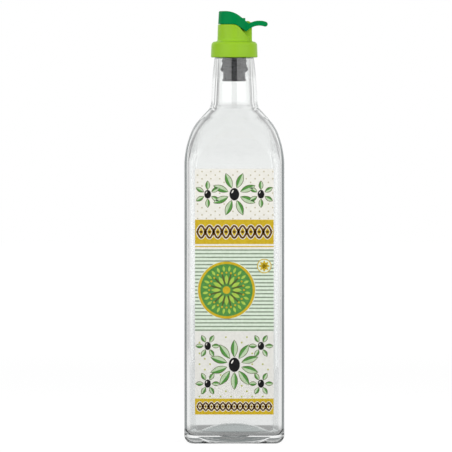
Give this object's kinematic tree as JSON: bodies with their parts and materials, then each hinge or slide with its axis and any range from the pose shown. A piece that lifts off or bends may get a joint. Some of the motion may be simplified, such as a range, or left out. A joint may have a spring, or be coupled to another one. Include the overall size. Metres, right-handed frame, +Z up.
{
  "type": "oil cruet",
  "caption": "Tall square clear glass oil bottle with a round tapered neck, a finned stopper, a pourer collar and tower, and a tipping lid with a wave-shaped thumb lever.",
  "frame": {"origin": "centre of the base, on the surface the bottle stands on", "axes": "+Z up along the neck; the printed face looks along -Y; the lid's thumb lever points along +X"},
  "size_m": [0.077, 0.0772, 0.3333],
  "materials": {
    "glass": "clear polished moulded glass",
    "stopper_plastic": "soft dark grey moulded plastic",
    "pourer_plastic": "lime green moulded plastic",
    "lid_plastic": "dark green moulded plastic",
    "gold_ink": "fired enamel print, yellow gold",
    "pale_ink": "fired enamel print, pale mint",
    "green_ink": "fired enamel print, leaf green",
    "olive_ink": "fired enamel print, olive green",
    "black_ink": "fired enamel print, black",
    "cream_ink": "fired enamel print, cream"
  },
  "bodies": {
    "bottle": {"bottle": "glass", "neck": "glass", "stopper": "stopper_plastic", "pourer": "pourer_plastic", "base_band": "gold_ink", "top_band": "gold_ink", "stripe_field": "pale_ink", "roundel": "green_ink"},
    "lid": {"lid": "lid_plastic"}
  },
  "joints": [
    {"name": "lid_hinge", "type": "hinge", "parent": "bottle", "child": "lid", "pos_m": [0.0102, 0, 0.3222], "axis": [0, 1, 0], "range_deg": [0, 45]}
  ]
}
